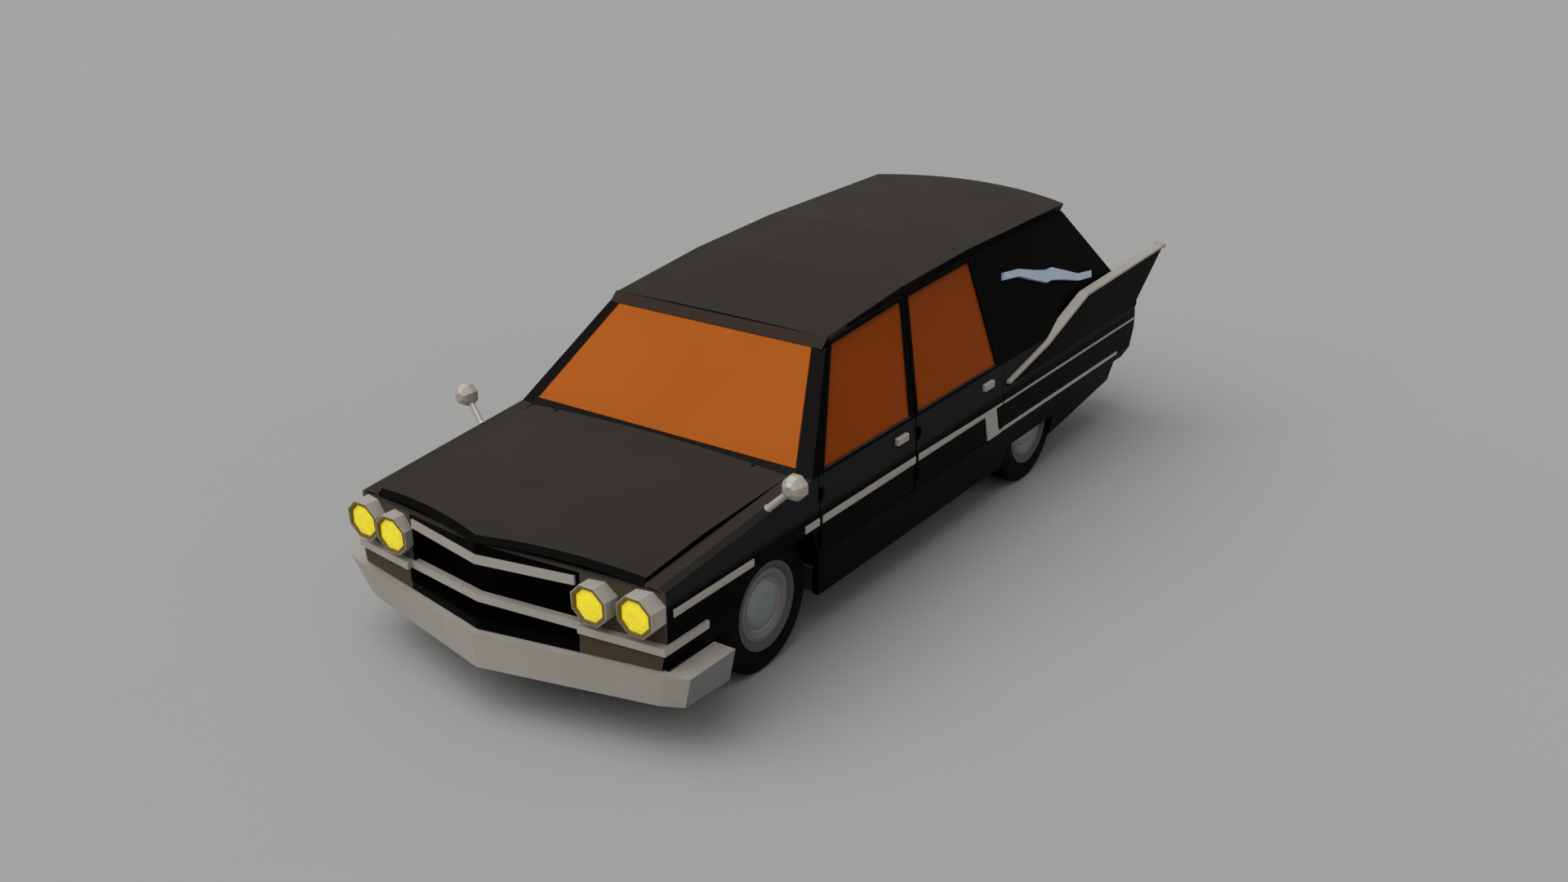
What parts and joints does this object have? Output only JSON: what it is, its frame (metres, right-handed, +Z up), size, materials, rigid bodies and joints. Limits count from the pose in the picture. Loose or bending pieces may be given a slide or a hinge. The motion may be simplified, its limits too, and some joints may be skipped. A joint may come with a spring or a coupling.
{
  "type": "hearse",
  "caption": "Long black finned hearse with amber glass, landau bars, swept chrome bumper, lifting loading door, hinged doors and hood, and steered front wheels.",
  "frame": {"origin": "on the ground under the middle of the overall length and width", "axes": "+X towards the front, +Y to the car's left, +Z up"},
  "size_m": [6.12, 2.4174, 1.7379],
  "materials": {
    "paint": "gloss",
    "chrome": "satin",
    "wheel_chrome": "satin",
    "tyre": "matte",
    "windshield_glass": "gloss",
    "side_glass": "gloss",
    "lamp": "gloss",
    "tail_lamp": "gloss",
    "landau": "satin",
    "chassis": "satin",
    "underside": "matte",
    "steel": "satin",
    "engine": "matte",
    "trim_plastic": "matte",
    "seat": "satin",
    "deck": "satin"
  },
  "bodies": {
    "body": {"frame": "chassis", "front_suspension": "chassis", "rear_axle": "chassis", "engine": "engine", "exhaust": "steel", "fuel_tank": "chassis", "floor_pan": "underside", "windshield": "windshield_glass", "cowl": "paint", "roof": "paint", "body_side_left": "paint", "body_side_right": "paint", "fender_left": "paint", "fender_right": "paint", "aprons": "underside", "nose": "paint", "grille_bars": "chrome", "headlamp_bezels": "chrome", "headlamp_lenses": "lamp", "bumper_front": "chrome", "bumper_rear": "chrome", "fins": "paint", "fin_caps": "chrome", "tail_surround": "paint", "tail_lamps": "tail_lamp", "mirrors": "chrome", "landau_bars": "landau", "dashboard": "trim_plastic", "front_seat": "seat", "casket_deck": "deck", "tow_eyes": "steel"},
    "hood_body": {"hood": "paint"},
    "door_front_left_body": {"door_front_left": "paint", "glass_front_left": "side_glass"},
    "door_front_right_body": {"door_front_right": "paint", "glass_front_right": "side_glass"},
    "door_rear_left_body": {"door_rear_left": "paint", "glass_rear_left": "side_glass"},
    "door_rear_right_body": {"door_rear_right": "paint", "glass_rear_right": "side_glass"},
    "tailgate_body": {"tailgate": "paint", "glass_tailgate": "side_glass"},
    "knuckle_left_body": {"knuckle_left": "steel"},
    "knuckle_right_body": {"knuckle_right": "steel"},
    "wheel_front_left_body": {"wheel_front_left": "wheel_chrome", "tyre_front_left": "tyre"},
    "wheel_front_right_body": {"wheel_front_right": "wheel_chrome", "tyre_front_right": "tyre"},
    "wheel_rear_left_body": {"wheel_rear_left": "wheel_chrome", "tyre_rear_left": "tyre"},
    "wheel_rear_right_body": {"wheel_rear_right": "wheel_chrome", "tyre_rear_right": "tyre"}
  },
  "joints": [
    {"name": "steer_left", "type": "hinge", "parent": "body", "child": "knuckle_left_body", "pos_m": [1.844, 0.7925, 0.385], "axis": [0, 0, 1], "range_deg": [-30, 30]},
    {"name": "spin_front_left", "type": "hinge", "parent": "knuckle_left_body", "child": "wheel_front_left_body", "pos_m": [1.844, 0.8525, 0.385], "axis": [0, 1, 0], "continuous": true},
    {"name": "spin_rear_left", "type": "hinge", "parent": "body", "child": "wheel_rear_left_body", "pos_m": [-1.193, 0.8525, 0.385], "axis": [0, 1, 0], "continuous": true},
    {"name": "door_front_left_hinge", "type": "hinge", "parent": "body", "child": "door_front_left_body", "pos_m": [1.47, 1.043, 0.8], "axis": [0, 0, -1], "range_deg": [0, 65]},
    {"name": "door_rear_left_hinge", "type": "hinge", "parent": "body", "child": "door_rear_left_body", "pos_m": [0.448, 1.043, 0.8], "axis": [0, 0, -1], "range_deg": [0, 65]},
    {"name": "steer_right", "type": "hinge", "parent": "body", "child": "knuckle_right_body", "pos_m": [1.844, -0.7925, 0.385], "axis": [0, 0, 1], "range_deg": [-30, 30]},
    {"name": "spin_front_right", "type": "hinge", "parent": "knuckle_right_body", "child": "wheel_front_right_body", "pos_m": [1.844, -0.8525, 0.385], "axis": [0, 1, 0], "continuous": true},
    {"name": "spin_rear_right", "type": "hinge", "parent": "body", "child": "wheel_rear_right_body", "pos_m": [-1.193, -0.8525, 0.385], "axis": [0, 1, 0], "continuous": true},
    {"name": "door_front_right_hinge", "type": "hinge", "parent": "body", "child": "door_front_right_body", "pos_m": [1.47, -1.043, 0.8], "axis": [0, 0, 1], "range_deg": [0, 65]},
    {"name": "door_rear_right_hinge", "type": "hinge", "parent": "body", "child": "door_rear_right_body", "pos_m": [0.448, -1.043, 0.8], "axis": [0, 0, 1], "range_deg": [0, 65]},
    {"name": "hood_hinge", "type": "hinge", "parent": "body", "child": "hood_body", "pos_m": [1.593, 0, 1.021], "axis": [0, -1, 0], "range_deg": [0, 48]},
    {"name": "tailgate_hinge", "type": "hinge", "parent": "body", "child": "tailgate_body", "pos_m": [-2.114, 0, 1.696], "axis": [0, 1, 0], "range_deg": [0, 75]}
  ],
  "couplings": [
    {"joint": "steer_right", "follows": "steer_left", "ratio": 1}
  ]
}
